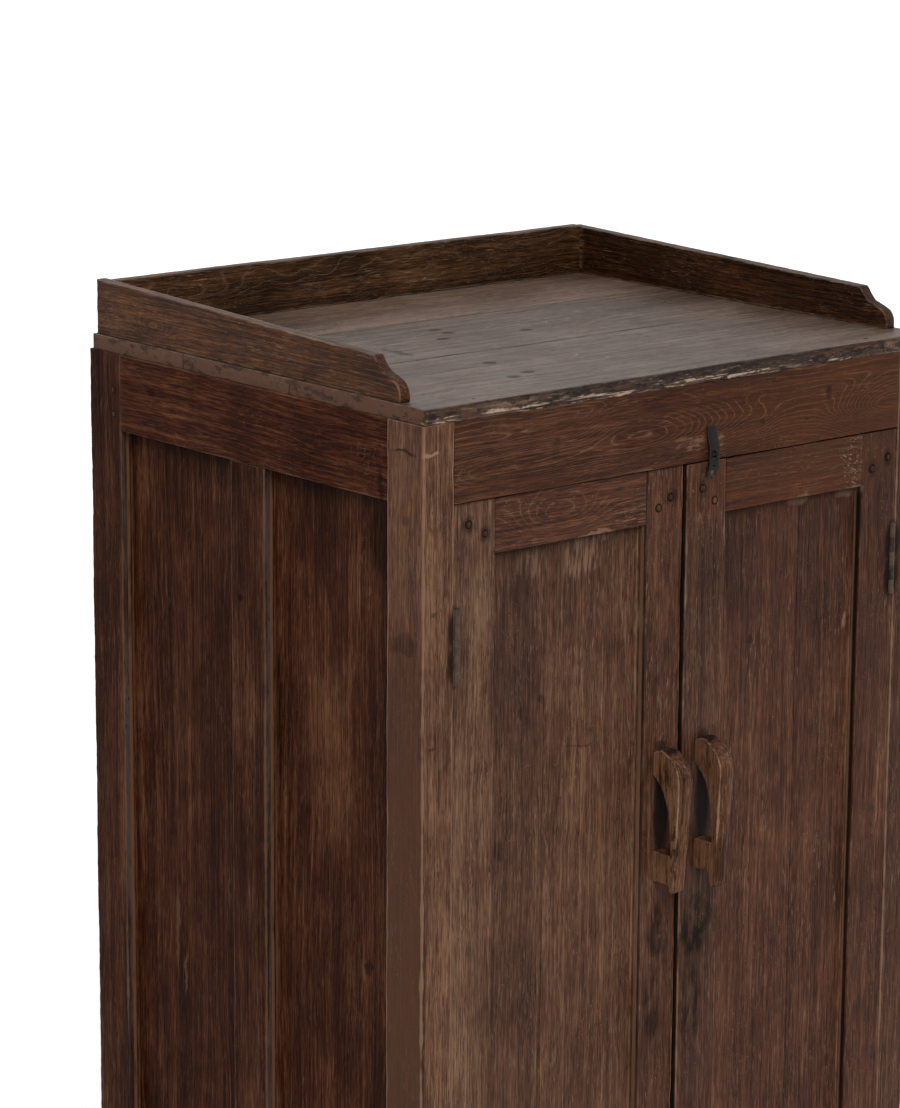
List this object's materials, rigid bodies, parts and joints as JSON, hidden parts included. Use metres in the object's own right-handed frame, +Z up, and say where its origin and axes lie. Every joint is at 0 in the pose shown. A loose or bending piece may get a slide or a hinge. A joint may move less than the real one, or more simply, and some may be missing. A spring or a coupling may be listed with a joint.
{
  "type": "two-door cupboard",
  "caption": "Tall wooden cupboard with panelled doors, a galleried top, butt hinges, carved handles, and a hasp and staple above the doors.",
  "frame": {"origin": "on the floor under the middle of the bounding box, between the four feet", "axes": "+X to the right seen from the front, +Y from the doors to the back, +Z up"},
  "size_m": [0.918, 0.777, 1.6045],
  "materials": {
    "oiled_teak": "worn oil and wax, mid brown",
    "dark_side_teak": "darker reddish brown, waxed",
    "weathered_top_teak": "greyed, worn and slightly glossy",
    "inner_teak": "unfinished, dull",
    "handle_teak": "lighter brown, polished by hands",
    "dark_iron": "charcoal grey wrought iron with a little rust"
  },
  "bodies": {
    "case": {"front_left_post": "oiled_teak", "front_right_post": "oiled_teak", "rear_left_post": "dark_side_teak", "rear_right_post": "dark_side_teak", "front_top_rail": "oiled_teak", "front_bottom_rail": "oiled_teak", "left_top_rail": "dark_side_teak", "left_bottom_rail": "dark_side_teak", "right_top_rail": "dark_side_teak", "right_bottom_rail": "dark_side_teak", "rear_top_rail": "inner_teak", "rear_bottom_rail": "inner_teak", "left_muntin": "dark_side_teak", "right_muntin": "dark_side_teak", "rear_muntin": "inner_teak", "left_front_panel": "dark_side_teak", "left_rear_panel": "dark_side_teak", "right_front_panel": "dark_side_teak", "right_rear_panel": "dark_side_teak", "rear_left_panel": "inner_teak", "rear_right_panel": "inner_teak", "top_front_plank": "weathered_top_teak", "top_middle_plank": "weathered_top_teak", "top_rear_plank": "weathered_top_teak", "gallery_back": "weathered_top_teak", "gallery_left": "weathered_top_teak", "gallery_right": "weathered_top_teak", "floor_boards": "inner_teak", "lower_shelf": "inner_teak", "upper_shelf": "inner_teak", "shelf_bearers": "inner_teak", "case_pegs": "oiled_teak", "case_nails": "dark_iron", "frame_hinge_leaves": "dark_iron", "hinge_pins": "dark_iron", "hasp_staple": "dark_iron"},
    "left_door": {"left_hinge_stile": "oiled_teak", "left_meeting_stile": "oiled_teak", "left_door_top_rail": "oiled_teak", "left_door_bottom_rail": "oiled_teak", "left_door_outer_panel": "oiled_teak", "left_door_inner_panel": "oiled_teak", "left_door_pegs": "oiled_teak", "left_door_nails": "dark_iron", "left_door_hinge_leaves": "dark_iron", "left_handle": "handle_teak"},
    "right_door": {"right_hinge_stile": "oiled_teak", "right_meeting_stile": "oiled_teak", "right_door_top_rail": "oiled_teak", "right_door_bottom_rail": "oiled_teak", "right_door_outer_panel": "oiled_teak", "right_door_inner_panel": "oiled_teak", "right_door_pegs": "oiled_teak", "right_door_nails": "dark_iron", "right_door_hinge_leaves": "dark_iron", "right_handle": "handle_teak", "hasp_foot": "dark_iron", "hasp_pin": "dark_iron"},
    "hasp": {"hasp_strap": "dark_iron"}
  },
  "joints": [
    {"name": "left_door_swing", "type": "hinge", "parent": "case", "child": "left_door", "pos_m": [-0.4026, -0.338, 0.766], "axis": [0, 0, -1], "range_deg": [0, 165]},
    {"name": "right_door_swing", "type": "hinge", "parent": "case", "child": "right_door", "pos_m": [0.4026, -0.338, 0.766], "axis": [0, 0, 1], "range_deg": [0, 165]},
    {"name": "hasp_swing", "type": "hinge", "parent": "right_door", "child": "hasp", "pos_m": [0.0444, -0.3416, 1.392], "axis": [1, 0, 0], "range_deg": [0, 150]}
  ]
}
